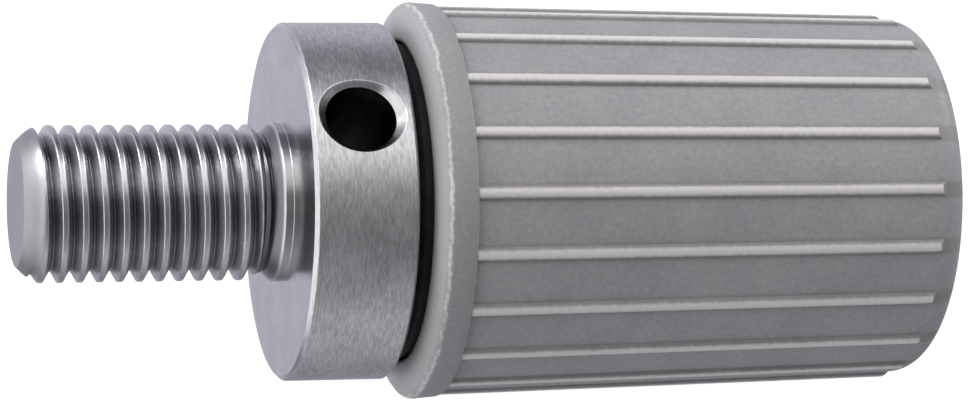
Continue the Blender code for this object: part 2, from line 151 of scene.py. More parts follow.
# %% Node trees
class Finish:
    """The node tree of one material, or of the world, and its node calls."""

    def __init__(self, owner):
        owner.use_nodes = True
        self.tree = owner.node_tree
        self.tree.nodes.clear()

    def node(self, kind, settings=None, sockets=None):
        """Adds a node, sets what it does, then its sockets' values or links."""
        node = self.tree.nodes.new(kind)
        for name, value in (settings or {}).items():
            if name == "stops":
                self.set_stops(node.color_ramp, value)
            else:
                setattr(node, name, value)
        for name, value in (sockets or {}).items():
            if isinstance(value, Value):
                value = value.socket
            if isinstance(value, bpy.types.NodeSocket):
                self.tree.links.new(value, node.inputs[name])
            else:
                node.inputs[name].default_value = value
        return node

    def set_stops(self, ramp, stops):
        """Gives a colour ramp its stops: place, grey, and blue as a multiple of the grey."""
        for index, (place, grey, blueness) in enumerate(stops):
            stop = ramp.elements[index] if index < 2 else ramp.elements.new(place)
            stop.position = place
            stop.color = (grey, grey, grey * blueness, 1.0)

    def math(self, operation, *numbers):
        """A Math node on values and plain numbers."""
        node = self.node("ShaderNodeMath", {"operation": operation}, dict(enumerate(numbers)))
        return Value(self, node.outputs[0])

    def rise(self, value, low, high, start, end):
        """Carries low..high to start..end along a smooth S curve."""
        node = self.node("ShaderNodeMapRange", {"interpolation_type": "SMOOTHSTEP"},
                         {0: value, 1: low, 2: high, 3: start, 4: end})
        return Value(self, node.outputs[0])

    def coordinates(self, output="Object"):
        """X, Y and Z of the point, as three values."""
        source = self.node("ShaderNodeTexCoord").outputs[output]
        parts = self.node("ShaderNodeSeparateXYZ", None, {0: source})
        return [Value(self, part) for part in parts.outputs]

    def turned_place(self):
        """X, Y and Z of the point, and its radius about the X axis."""
        x, y, z = self.coordinates()
        return x, y, z, (y * y + z * z).math("SQRT")

    def vector(self, x, y, z):
        """Three numbers as one place."""
        return self.node("ShaderNodeCombineXYZ", None, {0: x, 1: y, 2: z}).outputs[0]

    def noise(self, place, detail=2.0, roughness=0.5):
        """Smooth noise about 0.5, with features one unit of place across."""
        node = self.node("ShaderNodeTexNoise", None,
                         {"Vector": place, "Scale": 1.0, "Detail": detail, "Roughness": roughness})
        return Value(self, node.outputs[0])

    def patches(self, size, detail=2.0, roughness=0.5):
        """Noise with features of a size in millimetres, or of one size each along X, Y and Z."""
        place = [value / float(along * MM)
                 for value, along in zip(self.coordinates(), np.broadcast_to(size, 3))]
        return self.noise(self.vector(*place), detail, roughness)

    def blend(self, amount, first, second):
        """One colour turning into another."""
        node = self.node("ShaderNodeMix", {"data_type": "RGBA"}, {0: amount, 6: first, 7: second})
        return node.outputs[2]

    def bump(self, height, distance, strength=1.0):
        """A normal tilted by a height, where a height of 1 stands for the distance."""
        node = self.node("ShaderNodeBump", None,
                         {"Height": height, "Distance": distance, "Strength": strength})
        return node.outputs[0]


# %% New finishes
def colour(red, green, blue):
    """An opaque colour for a socket."""
    return (red, green, blue, 1.0)


def new_finish(name, sockets):
    """A material with one Principled shader, whose sockets a function of the finish gives."""
    material = bpy.data.materials.new(name)
    finish = Finish(material)
    shader = finish.node("ShaderNodeBsdfPrincipled", None, sockets(finish))
    finish.node("ShaderNodeOutputMaterial", None, {"Surface": shader.outputs[0]})
    print("finish", name, "with", len(finish.tree.nodes), "nodes")
    return material


# %% [markdown]
# # Light
# Bright steel shows its surroundings more than itself. Here they are a white tent: a broad soft
# light above, a darker room on the viewer's side, and a pale ground. All of that changes only with
# the angle round the grip's own axis, so one ramp over that angle describes it, and the highlights
# run straight along every turned surface. A window beyond the stud's end lights what faces it, such
# as the chamfers. What the camera sees behind the grip is plain white.

# %% The tent
# Brightness and blueness by the angle about X, counted from +Y towards +Z, as a share of a full turn.
TENT = [(0.00, 0.20, 1.15), (0.03, 0.11, 1.18), (0.085, 0.11, 1.18), (0.13, 0.38, 1.08),
        (0.16, 1.0, 1.0), (0.21, 1.02, 1.0), (0.255, 0.72, 1.0), (0.30, 0.20, 1.04), (0.39, 0.14, 1.06),
        (0.47, 0.22, 1.04), (0.56, 0.42, 1.06), (0.64, 0.34, 1.08), (0.72, 0.18, 1.12),
        (0.80, 0.31, 1.15), (0.86, 0.47, 1.15), (0.94, 0.42, 1.15)]
TENT_STRENGTH = 1.58
WINDOW_STRENGTH = 1.5

world = bpy.data.worlds.new("white_tent")
scene.world = world
tent = Finish(world)
toward_x, toward_y, toward_z = tent.coordinates("Generated")
turn = tent.math("ARCTAN2", toward_z, toward_y) / (2 * math.pi)
share = turn.math("FLOORED_MODULO", 1.0)
shade = tent.node("ShaderNodeValToRGB", {"stops": TENT}, {0: share})
cloth = tent.node("ShaderNodeBackground", None, {"Color": shade.outputs[0], "Strength": TENT_STRENGTH})
at_stud_end = (0.0 - toward_x).step(0.50, 0.82)
window = tent.node("ShaderNodeBackground", None, {"Color": colour(1, 1, 1), "Strength": WINDOW_STRENGTH})
room = tent.node("ShaderNodeMixShader", None, {0: at_stud_end, 1: cloth.outputs[0], 2: window.outputs[0]})
paper = tent.node("ShaderNodeBackground", None, {"Color": colour(1, 1, 1), "Strength": 1.0})
seen = tent.node("ShaderNodeLightPath").outputs["Is Camera Ray"]
mixed = tent.node("ShaderNodeMixShader", None, {0: seen, 1: room.outputs[0], 2: paper.outputs[0]})
tent.node("ShaderNodeOutputWorld", None, {"Surface": mixed.outputs[0]})
print("tent with", len(TENT), "stops")

# %% [markdown]
# Two soft lamps, one towards each end, give the dull plastic a lit side and a shaded side, and let
# each rib throw a little shade. They stand where the polished cylinders don't mirror them.

# %% Lamps
LAMP_SIZE = 0.22
LAMP_DISTANCE = 0.6


def soft_lamp(name, direction, watts):
    """A square soft lamp that looks at the grip from a direction."""
    lamp = bpy.data.lights.new(name, "AREA")
    lamp.energy = watts
    lamp.size = LAMP_SIZE
    stand = bpy.data.objects.new(name, lamp)
    towards = Vector(direction).normalized()
    turned_to = towards.to_track_quat("Z", "Y").to_matrix().to_4x4()
    stand.matrix_world = Matrix.Translation(AIM + towards * LAMP_DISTANCE) @ turned_to
    stand.visible_camera = False
    scene.collection.objects.link(stand)
    print(name, "at", watts, "W")


soft_lamp("lamp_at_stud", (-0.66, 0.59, 0.47), 1.28)
soft_lamp("lamp_at_grip", (0.80, 0.51, 0.32), 1.14)

# %% [markdown]
# # Surfaces from rings
# Almost every piece here was turned on a lathe or moulded in a turned mould, so one kind of grid
# makes them all: rings of points about the X axis, one ring for each step along a profile. A lathe
# modifier could only repeat one profile, and the thread and the ribs change round the axis, so the
# radius is worked out for the whole grid at once.


# %% Ring helpers
def ring_points(along, radius, angles):
    """x = along, y = radius times the angle's cosine, z = radius times its sine."""
    along, radius, angles = np.broadcast_arrays(along, radius, angles)
    return np.stack([along, radius * np.cos(angles), radius * np.sin(angles)], axis=-1)


def strip_quads(index):
    """Quads between neighbouring rows of an index grid, whose last column joins its first."""
    across = np.roll(index, -1, axis=1)
    return np.stack([index[:-1], across[:-1], across[1:], index[1:]], axis=-1)


def pole_triangles(ring, centre, at_start):
    """A fan from a centre point to a ring."""
    across = np.roll(ring, -1)
    first, second = (across, ring) if at_start else (ring, across)
    return np.stack([np.full_like(ring, centre), first, second], axis=-1)


def new_piece(name, points, faces, material):
    """One smooth object from points and from groups of quads or triangles."""
    corners = [face for group in faces for face in group.reshape(-1, group.shape[-1]).tolist()]
    mesh = bpy.data.meshes.new(name)
    mesh.from_pydata(points, [], corners)
    mesh.shade_smooth()
    mesh.materials.append(material)
    piece = bpy.data.objects.new(name, mesh)
    scene.collection.objects.link(piece)
    mesh.calc_loop_triangles()
    print(name, "has", len(mesh.loop_triangles), "triangles")
    return piece


def closed_turning(name, rings, start_x, end_x, material):
    """Rings from one point on the axis to another, closed by a fan at each end."""
    rows, columns = rings.shape[:2]
    index = np.arange(rows * columns).reshape(rows, columns)
    points = np.concatenate([rings.reshape(-1, 3), [[start_x, 0, 0], [end_x, 0, 0]]])
    faces = [strip_quads(index), pole_triangles(index[0], rows * columns, True),
             pole_triangles(index[-1], rows * columns + 1, False)]
    return new_piece(name, points, faces, material)


def turned_ring(name, profile, columns, material):
    """A washer-like piece: its profile is a closed loop, and the last ring joins the first."""
    angles = np.arange(columns) * 2 * np.pi / columns
    rings = ring_points(profile[:, :1], profile[:, 1:], angles)
    rows = len(rings)
    index = np.arange(rows * columns).reshape(rows, columns)
    faces = [strip_quads(np.concatenate([index, index[:1]]))]
    return new_piece(name, rings.reshape(-1, 3), faces, material)


# %% [markdown]
# A machined corner is never quite sharp: the tool leaves a small round that catches the light as a
# thin line. Each corner of a profile gets one, and a pair of close rings beside it keeps the smooth
# shading of the flat part flat.

# %% Profiles with rounded corners
CORNER_POINTS = 5
CLOSE_RING = 0.08


def softened(corners, spacing, loop=False):
    """Carries a line through (x, radius, round) corners, in millimetres.

    A corner becomes a parabola between two points that lie its third number away from it,
    and straight parts are cut into steps no longer than the spacing."""
    corners = np.array(corners, dtype=float)
    count = len(corners)
    arcs = []
    share = np.linspace(0, 1, CORNER_POINTS)[:, None]
    for i in range(count):
        here, size = corners[i, :2], corners[i, 2]
        before, after = corners[i - 1, :2], corners[(i + 1) % count, :2]
        if not loop and i in (0, count - 1) or size == 0:
            arcs.append(here[None])
            continue
        to_before = (before - here) / np.linalg.norm(before - here) * size
        to_after = (after - here) / np.linalg.norm(after - here) * size
        arcs.append(here + to_before * (1 - share) ** 2 + to_after * share ** 2)
    line = []
    for i in range(count if loop else count - 1):
        start, end = arcs[i][-1], arcs[(i + 1) % count][0]
        length = np.linalg.norm(end - start)
        close = min(CLOSE_RING, length / 3)
        steps = max(2, int(np.ceil((length - 2 * close) / spacing)) + 1)
        places = np.linspace(close, length - close, steps)[:, None] / length
        line += [arcs[i], start + (end - start) * places]
    if not loop:
        line.append(arcs[-1])
    return np.concatenate(line) * MM


# %% [markdown]
# # Steel finish
# The tool leaves fine circles about the axis on every turned face, and the plating over them is a
# cool light grey. Noise stretched along those circles gives the marks: it changes fast with
# x + 0.6 r, which crosses the circles on cylinders and on flat faces alike, and slowly with y and z.
# The collar's flat front is finished finer than its side, and mirrors the neck. The thread is rolled
# rather than cut; its roots are darkened, partly by dirt and partly as painted shade, and the relief
# behind it gets painted shade. The cut end of the stud is duller and darker, and the cross hole's wall
# gets painted shade. Each of these is a mask by place along X or by radius.

# %% Zones of the spindle
COLLAR_LENGTH = 10.4
BAR_HOLE_RADIUS = 3.5
BAR_HOLE_CHAMFER = 0.95

# Along X, where one zone fades into the next.
THREAD_START_FADE = (-26.0, -25.2)
TIP_FADE = (-25.4, -24.4)
THREAD_END_FADE = (-3.2, -2.4)
RELIEF_END_FADE = (-1.1, -0.85)
NECK_FADE = (-0.9, -0.7)
COLLAR_FADE = (-0.3, 0.1)
# Along the radius: the thread's roots, the bottom of the hole's chamfer, and the collar's side.
ROOT_FADE = (6.65, 7.35)
CHAMFER_FADE = (15.0, 16.8)
SIDE_FADE = (COLLAR_RADIUS - 0.3, COLLAR_RADIUS - 0.05)
print("thread from", THREAD_START_FADE[1], "to", THREAD_END_FADE[0], "mm along X")


# %% Steel finish
def turning_marks(finish, fine, length):
    """Noise of short arcs about the X axis, fine across and long round it."""
    x, y, z, radius = finish.turned_place()
    across = (x + radius * 0.6) / (fine * MM)
    return finish.noise(finish.vector(across, y / (length * MM), z / (length * MM)), 3.0, 0.6)


def with_thread_dirt_and_painted_shade(finish, plate, x, radius):
    """Darker thread roots, partly dirt and partly painted shade, and painted shade in the relief behind
    the thread.
    """
    depth = radius.past(*ROOT_FADE)
    grime = finish.patches(0.5, 3.0)
    behind_thread = x.past(*THREAD_END_FADE)
    on_thread = (1 - behind_thread) * x.past(*THREAD_START_FADE)
    painted_relief_shade = behind_thread * (1 - x.past(*RELIEF_END_FADE))
    # Painted shade: the roots darken with depth, with dirt patches over them, and the relief is darkened
    # as painted shade.
    darkening = (1 - depth + (grime - 0.5) * 0.5) * on_thread + painted_relief_shade * 1.15
    return finish.blend(darkening.math("MAXIMUM", 0.0) * 0.70, plate, colour(0.085, 0.09, 0.11))


def with_painted_hole_shade(finish, plate, x, y, radius):
    """Painted shade on the cross hole's wall: dark steel inside the hole's radius and below its chamfer.
    """
    from_middle = x - COLLAR_LENGTH / 2 * MM
    off_axis = (from_middle * from_middle + y * y).math("SQRT")
    in_hole = 1 - off_axis.past(BAR_HOLE_RADIUS, BAR_HOLE_RADIUS + 0.06)
    inside = in_hole * (1 - radius.past(*CHAMFER_FADE)) * x.past(*COLLAR_FADE)
    # Painted shade: the hole's wall is darkened.
    return finish.blend(inside * 0.9, plate, colour(0.10, 0.10, 0.10))


def turned_steel_sockets(finish):
    """Streaked plate, then dirt and painted shade in the thread, painted shade in the hole and the dull
    tip over it.
    """
    x, y, z, radius = finish.turned_place()
    coarse = turning_marks(finish, 0.15, 1.3)
    fine = turning_marks(finish, 0.08, 0.7)
    clouds = finish.patches(4, 3.0)
    side = radius.past(*SIDE_FADE)
    streaks = (coarse - 0.5) * 1.3 + (fine - 0.5) * 1.1
    bright = streaks * (0.30 + 0.70 * side) + (clouds - 0.5) * 0.5 + 0.5
    plate = finish.blend(bright.step(0.05, 0.95), colour(0.36, 0.36, 0.37), colour(0.66, 0.66, 0.67))
    threaded = with_thread_dirt_and_painted_shade(finish, plate, x, radius)
    holed = with_painted_hole_shade(finish, threaded, x, y, radius)
    tip = 1 - x.past(*TIP_FADE)
    tipped = finish.blend(tip * 0.80, holed, colour(0.27, 0.27, 0.29))
    polish = 0.24 + 0.22 * tip - 0.06 * x.past(*NECK_FADE) + 0.18 * side
    roughness = polish + 0.10 * (fine - 0.5) + 0.08 * (clouds - 0.5)
    relief = (coarse * 0.6 + fine * 0.4) * (0.12 + 0.88 * side)
    return {"Base Color": tipped, "Metallic": 1.0, "Roughness": roughness,
            "Normal": finish.bump(relief, 0.026 * MM, 0.8)}


turned_steel = new_finish("turned_steel", turned_steel_sockets)

# %% [markdown]
# # Spindle
# The stud, collar and axle are one turned bar. The thread is a radius that depends on both x and
# the angle: the groove moves one pitch along X for each turn. Cutting it with a boolean would leave
# flat facets, so the radius is worked out point by point, with the rounded crests and roots that
# thread rolls press.

# %% Thread sizes
THREAD_PITCH = 2.0
THREAD_RADIUS = 7.85
THREAD_ROOT = 6.64
FLANK_ANGLE = math.radians(30)
ROOT_HALF_WIDTH = 0.07
GROOVE_START = -28.5
GROOVE_PHASE = math.radians(330)
GROOVE_GROWS_FROM = 0.75
GROOVE_GROWS_OVER = 0.8
ROOT_ROUND = 0.3
CREST_ROUND = 0.14
CHAMFER_ROUND = 0.06
RUN_OUT_ROUND = 0.12
END_CHAMFER = 1.65
END_CHAMFER_LENGTH = 2.4
END_CHAMFER_DOME = 1.6
RUN_OUT = ([-3.4, -2.6, -2.1, -1.9], [THREAD_RADIUS + 0.1, 7.25, 7.1, 6.75])
print("thread of", THREAD_PITCH, "mm pitch,", round(THREAD_RADIUS - THREAD_ROOT, 2), "mm deep")


# %% Thread surface
def soft_min(first, second, blend):
    """The smaller of two numbers, with the corner between them rounded over the blend."""
    near = np.clip(1 - np.abs(first - second) / blend, 0, None)
    return np.minimum(first, second) - blend * near ** 2 / 4


def thread_radius(along, angles):
    """Distance from the groove's middle times the flank's slope, held between root and crest.

    The groove grows from nothing on its first turn. The domed chamfer at the stud's end and the
    run-out near the collar hold the radius down further."""
    middle = GROOVE_START + THREAD_PITCH * (angles - GROOVE_PHASE) / (2 * np.pi)
    turn = np.round((along - middle) / THREAD_PITCH)
    groove = middle + turn * THREAD_PITCH
    flank = THREAD_ROOT + (np.abs(along - groove) - ROOT_HALF_WIDTH) / math.tan(FLANK_ANGLE)
    rooted = -soft_min(-flank, -THREAD_ROOT, ROOT_ROUND)
    radius = soft_min(rooted, THREAD_RADIUS, CREST_ROUND)
    grown = np.clip((groove - STUD_END - GROOVE_GROWS_FROM) / GROOVE_GROWS_OVER, 0, 1)
    radius = THREAD_RADIUS - (THREAD_RADIUS - radius) * grown * grown * (3 - 2 * grown)
    to_full = np.clip(1 - (along - STUD_END) / END_CHAMFER_LENGTH, 0, 1)
    chamfer = THREAD_RADIUS - END_CHAMFER * to_full ** END_CHAMFER_DOME
    run_out = np.interp(along, *RUN_OUT)
    return soft_min(soft_min(radius, chamfer, CHAMFER_ROUND), run_out, RUN_OUT_ROUND)


# %% Spindle profile
# x, radius and round of each corner: relief, neck and collar, then shoulder and axle. The side of
# the collar is cut into even steps over the stretch in which the hole is drilled.
NECK_RADIUS = 8.0
SHOULDER_RADIUS = 7.5
AXLE_RADIUS = 5.85
CIRCLIP_GROOVE_RADIUS = 5.15
COLLAR_EDGE = 0.42
HOLE_FROM, HOLE_TO = 0.56, 9.94
AFTER_THREAD = [
    (-1.83, 6.75, 0), (-1.8, 7.0, 0.03), (-0.8, NECK_RADIUS, 0.06), (0.0, NECK_RADIUS, 0.06),
    (0.0, COLLAR_RADIUS - COLLAR_EDGE, 0.06), (COLLAR_EDGE, COLLAR_RADIUS, 0.06),
    (HOLE_FROM, COLLAR_RADIUS, 0), (HOLE_TO, COLLAR_RADIUS, 0),
    (COLLAR_LENGTH - 0.3, COLLAR_RADIUS, 0.05), (COLLAR_LENGTH, COLLAR_RADIUS - 0.3, 0.05),
    (COLLAR_LENGTH, 16.0, 0),
]
AXLE_PROFILE = [
    (COLLAR_LENGTH, 16.0, 0), (COLLAR_LENGTH, SHOULDER_RADIUS, 0.1), (14.85, SHOULDER_RADIUS, 0.1),
    (14.85, AXLE_RADIUS, 0.05), (57.45, AXLE_RADIUS, 0.05), (57.45, CIRCLIP_GROOVE_RADIUS, 0.05),
    (58.75, CIRCLIP_GROOVE_RADIUS, 0.05), (58.75, AXLE_RADIUS, 0.05),
    (AXLE_END - 0.6, AXLE_RADIUS, 0.08), (AXLE_END, AXLE_RADIUS - 0.6, 0.08), (AXLE_END, 0.3, 0),
]
END_FACE_RADII = [0.6, 2.5, 4.5, 5.6, 6.0, 6.1]
THREAD_END = -1.86
THREAD_STEP = 1 / 15


def spindle_rings(columns):
    """The rings of the stud's end face, the thread, and the rest of the profile, end to end."""
    angles = np.arange(columns) * 2 * np.pi / columns
    face = np.array(END_FACE_RADII)[:, None] * MM
    end_face = ring_points(np.full_like(face, STUD_END * MM), face, angles)
    along = np.arange(STUD_END + 0.03, THREAD_END, THREAD_STEP)[:, None]
    thread = ring_points(along * MM, thread_radius(along, angles[None]) * MM, angles)
    profile = np.concatenate([softened(AFTER_THREAD, 0.56), softened(AXLE_PROFILE, 5.0)[1:]])
    rest = ring_points(profile[:, :1], profile[:, 1:], angles)
    print("thread rows", len(thread), "and profile rows", len(rest))
    return np.concatenate([end_face, thread, rest])


# %% [markdown]
# The cross hole for a tommy bar is drilled right through the collar. A square patch of the grid is
# taken out where the drill enters and where it leaves, and rings of points carry the patch's edge to
# the hole's wide chamfer, down its wall, and out at the other side.


# %% Cross hole
def chamfer_edge(direction):
    """Radius where the 45 degree cone leaves the collar, in a direction about the hole's axis.

    The cone's height is its radius plus a constant c, and the collar's is the root of its own
    radius squared less y squared, so the radius solves (1 + s^2) r^2 + 2 c r + c^2 - R^2 = 0,
    where s is the direction's sine."""
    c = COLLAR_RADIUS - BAR_HOLE_CHAMFER - BAR_HOLE_RADIUS
    widened = 1 + np.sin(direction) ** 2
    return (np.sqrt(c ** 2 + widened * (COLLAR_RADIUS ** 2 - c ** 2)) - c) / widened


def hole_rings(edge):
    """Rings from the patch's edge to the hole's chamfer, down the cone, and down to the middle.

    On each ring a point keeps its direction from the hole's axis. On the collar the height
    is the root of the collar's radius squared less y squared. Outward, sunk and down are
    shares of the way over the collar, down the cone and down the wall, close where it bends."""
    middle = COLLAR_LENGTH / 2 * MM
    cone_foot = COLLAR_RADIUS - BAR_HOLE_CHAMFER
    direction = np.arctan2(edge[:, 1], edge[:, 0] - middle)
    unit = np.stack([np.cos(direction), np.sin(direction)], axis=-1)
    flat = edge[:, :2] - [middle, 0]
    mouth = chamfer_edge(direction)[:, None]
    outward = np.array([0.3, 0.6, 0.85, 0.95, 1.0])[:, None, None]
    skirt = flat + (unit * mouth * MM - flat) * outward
    height = np.sqrt((COLLAR_RADIUS * MM) ** 2 - skirt[..., 1:] ** 2)
    skirt = np.concatenate([skirt, height], axis=-1)
    sunk = np.array([0.05, 0.1, 0.37, 0.63, 0.9, 0.95, 1.0])[:, None, None]
    cone_radius = mouth + (BAR_HOLE_RADIUS - mouth) * sunk
    cone = np.concatenate([unit * cone_radius, cone_foot + cone_radius - BAR_HOLE_RADIUS], axis=-1) * MM
    down = np.array([0.005, 0.01, 0.05, 0.12, 0.25, 0.4, 0.6, 0.8, 1.0])[:, None]
    wall = np.broadcast_to(cone[-1], (len(down), *cone[-1].shape)).copy()
    wall[..., 2] = cone_foot * MM * (1 - down)
    rings = np.concatenate([skirt, cone, wall])
    rings[..., 0] += middle
    return rings


# %% Spindle with its cross hole
COLUMNS = 160
PATCH = 8


def patch_edge(first, last, low, high):
    """The rows and columns met on a walk round a patch of the grid."""
    across = high - low
    rows = np.concatenate([np.full(across, first), np.arange(first, last),
                           np.full(across, last), np.arange(last, first, -1)])
    columns = np.concatenate([np.arange(low, high), np.full(last - first, high),
                              np.arange(high, low, -1), np.full(last - first, low)])
    return rows, columns


def drilled_spindle(name, material):
    """The spindle's grid without its two patches, and the tube that joins their edges."""
    rings = spindle_rings(COLUMNS)
    index = np.arange(len(rings) * COLUMNS).reshape(len(rings), COLUMNS)
    quads = strip_quads(index)
    along = rings[:, 0, 0] / MM
    radius = np.hypot(rings[:, 0, 1], rings[:, 0, 2]) / MM
    band = np.flatnonzero((along > HOLE_FROM - 0.01) & (along < HOLE_TO + 0.01)
                          & (radius > COLLAR_RADIUS - 0.01))
    first, last = band[0], band[-1]
    low, high = COLUMNS // 4 - PATCH, COLUMNS // 4 + PATCH
    kept = np.ones(quads.shape[:2], dtype=bool)
    kept[first:last, low:high] = False
    kept[first:last, COLUMNS - high:COLUMNS - low] = False
    rows, columns = patch_edge(first, last, low, high)
    hole = hole_rings(rings[rows, columns])
    tube = np.concatenate([hole, hole[-2::-1] * [1, 1, -1]])
    tube_index = index.size + np.arange(tube.shape[0] * tube.shape[1]).reshape(tube.shape[:2])
    tube_index = np.concatenate([index[rows, columns][None], tube_index,
                                 index[rows, -columns % COLUMNS][None]])
    ends = [[STUD_END * MM, 0, 0], [AXLE_END * MM, 0, 0]]
    points = np.concatenate([rings.reshape(-1, 3), tube.reshape(-1, 3), ends])
    count = len(points)
    faces = [quads[kept], strip_quads(tube_index), pole_triangles(index[0], count - 2, True),
             pole_triangles(index[-1], count - 1, False)]
    return new_piece(name, points, faces, material)


spindle = drilled_spindle("turned_spindle", turned_steel)
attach(spindle, "spindle")
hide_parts("spindle")

# %% [markdown]
# # Sleeve finish
# The sleeve is moulded in grey plastic. A spark-eroded mould leaves a fine dull grain all over it.
# Hands polish the ribs, so their tops are lighter and warmer, partly from wear and partly as a painted
# highlight. A warm band of painted shade lies along the foot of each rib, and the flange is darker in
# patches towards its rear. The flange's front is lightened as painted light. The two halves of the
# mould meet near the flange's widest part and leave a pale line there, uneven and wandering.

# %% Sleeve sizes
FLANGE_REAR = 15.8
FLANGE_CROWN = 13.36
PARTING_LINE = 13.04
SLEEVE_RADIUS = 19.25
SLEEVE_DRAFT = math.tan(math.radians(1.026))
RIB_COUNT = 20
RIB_PHASE = math.radians(8.144)
RIB_ANGLE = 2 * math.pi / RIB_COUNT
print("a rib each", round(math.degrees(RIB_ANGLE), 1), "degrees")


# %% Sleeve finish
def distance_from_rib(x, y, z, radius):
    """Along the surface to the middle of the nearest rib."""
    turns = (z.math("ARCTAN2", y) - RIB_PHASE) / RIB_ANGLE
    return (turns - turns.math("ROUND")).math("ABSOLUTE") * radius * RIB_ANGLE


def with_flange_tone_and_painted_light(finish, base, x, flange, clouds):
    """The flange is darker in patches towards its rear, and its front, ahead of the mould line, is
    lightened as painted light.
    """
    to_rear = x.past(FLANGE_CROWN, FLANGE_REAR) * flange
    flange_toned = finish.blend(to_rear * (0.25 + 0.5 * clouds), base, colour(0.24, 0.225, 0.225))
    # Painted light: the front of the flange, which faces the lamp at the stud's end, is lightened.
    painted_front_light = 1 - x.past(FLANGE_FRONT + 0.5, PARTING_LINE)
    return finish.blend(painted_front_light * 0.45, flange_toned, colour(0.46, 0.455, 0.47))


def with_mould_line(finish, base, x, radius, clouds, speckle):
    """A pale line round the flange, whose place and width change with noise."""
    wander = finish.patches((9, 2.2, 2.2))
    from_line = (x - PARTING_LINE * MM + (wander - 0.5) * (0.7 * MM)).math("ABSOLUTE")
    width = (speckle * 0.5 + clouds * 0.5 - 0.26) * (0.50 * MM)
    line = (1 - (from_line - width).past(-0.05, 0.09)) * radius.past(18, 19)
    broken = (clouds * 0.5 + speckle * 0.5).step(0.36, 0.62)
    return finish.blend(line * (0.24 + 0.42 * broken), base, colour(0.66, 0.645, 0.63))


def moulding_sockets(finish):
    """Clouded grey, then rib tops lightened by wear and a painted highlight, painted shade beside them,
    the flange's tones with painted light on its front, and the mould line.
    """
    x, y, z, radius = finish.turned_place()
    grain = finish.patches(0.22, 3.0, 0.6)
    speckle = finish.patches(0.5, 2.0, 0.6)
    clouds = finish.patches(6, 3.0)
    base = finish.blend((speckle * 0.6 + clouds * 0.4).step(0.3, 0.7),
                        colour(0.262, 0.254, 0.266), colour(0.326, 0.316, 0.326))
    flange = 1 - x.past(FLANGE_REAR - 0.2, FLANGE_REAR + 0.15)
    floor_radius = SLEEVE_RADIUS * MM - (x - FLANGE_REAR * MM) * SLEEVE_DRAFT
    height = radius - floor_radius + (speckle - 0.5) * (0.12 * MM)
    # Rib tops lightened: partly wear, partly a painted highlight.
    worn_and_highlit = height.past(0.26, 0.50) * (1 - flange)
    ribbed = finish.blend(worn_and_highlit, base, colour(0.62, 0.60, 0.585))
    # Painted shade: a warm dark band along the foot of each rib.
    beside_rib = 1 - distance_from_rib(x, y, z, radius).past(0.55, 1.15)
    darkening = beside_rib * (1 - worn_and_highlit) * (1 - flange)
    grooved = finish.blend(darkening * 0.32, ribbed, colour(0.130, 0.118, 0.100))
    flange_toned = with_flange_tone_and_painted_light(finish, grooved, x, flange, clouds)
    lined = with_mould_line(finish, flange_toned, x, radius, clouds, speckle)
    relief = grain * (1 - 0.6 * worn_and_highlit) + speckle * 0.5
    return {"Base Color": lined, "Roughness": 0.50 - 0.10 * worn_and_highlit + 0.12 * (grain - 0.5),
            "Specular IOR Level": 0.4, "Normal": finish.bump(relief, 0.03 * MM, 0.7)}


grey_moulding = new_finish("grey_moulding", moulding_sockets)

# %% [markdown]
# # Sleeve
# The sleeve is one closed skin: from the middle of its end wall inside, along the bore to the
# flange, over the flange, and back along the outside to the middle of the end. Twenty ribs are a
# height added to the radius, so there are more grid lines across a rib than between ribs.

# %% Sleeve columns and ribs
RIB_HALF_WIDTH = 0.68
RIB_HEIGHT = 0.5
RIB_POWER = 2.1
END_ROUND = 2.6
RIB_FOOT = GRIP_END - END_ROUND


def sleeve_columns():
    """Angles round the sleeve, and each one's angle from the middle of its own rib.

    They are close together across each rib and wide between them."""
    side = np.array([0.3, 0.55, 0.75, 0.9, 0.98, 1.0, 1.15]) * RIB_HALF_WIDTH / SLEEVE_RADIUS
    between = np.linspace(side[-1], RIB_ANGLE / 2, 4)[1:]
    one_side = np.concatenate([side, between])
    local = np.concatenate([-one_side[-2::-1], [0.0], one_side])
    centres = RIB_PHASE + RIB_ANGLE * np.arange(RIB_COUNT)
    return (centres[:, None] + local).ravel(), np.tile(local, RIB_COUNT)


def rib_height(along, local):
    """The height times the root of 1 - share^power, the share being that of the half width.

    At its end it is held down by a 45 degree slope."""
    share = np.clip(np.abs(local) * SLEEVE_RADIUS / RIB_HALF_WIDTH, 0, 1)
    crown = RIB_HEIGHT * np.sqrt(1 - share ** RIB_POWER)
    slope = np.clip(RIB_FOOT - along, 0, None)
    return np.clip(soft_min(crown, slope, 0.12), 0, None) * (crown > 0)


# %% Sleeve outline
FLANGE_RADIUS = 20.06
BORE_RADIUS = 16.2
BORE_END = 64.0


def sleeve_outside():
    """x and radius along the outside, from the flange's rear to the middle of the end."""
    end_radius = SLEEVE_RADIUS - SLEEVE_DRAFT * (RIB_FOOT - FLANGE_REAR)
    near_flange = FLANGE_REAR + np.array([0.0, 0.04, 0.12, 0.3])
    x = np.concatenate([near_flange, np.linspace(FLANGE_REAR + 0.8, RIB_FOOT - 1.2, 30),
                        np.linspace(RIB_FOOT - 1.0, RIB_FOOT, 17)])
    radius = SLEEVE_RADIUS - SLEEVE_DRAFT * (x - FLANGE_REAR)
    radius[0] += 0.07
    bend = np.linspace(0, np.pi / 2, 15)[1:]
    round_x = RIB_FOOT + END_ROUND * np.sin(bend)
    round_radius = end_radius - END_ROUND * (1 - np.cos(bend))
    face = np.array([0.985, 0.9, 0.7, 0.4, 0.1]) * (end_radius - END_ROUND)
    return (np.concatenate([x, round_x, np.full(len(face), GRIP_END)]),
            np.concatenate([radius, round_radius, face]))


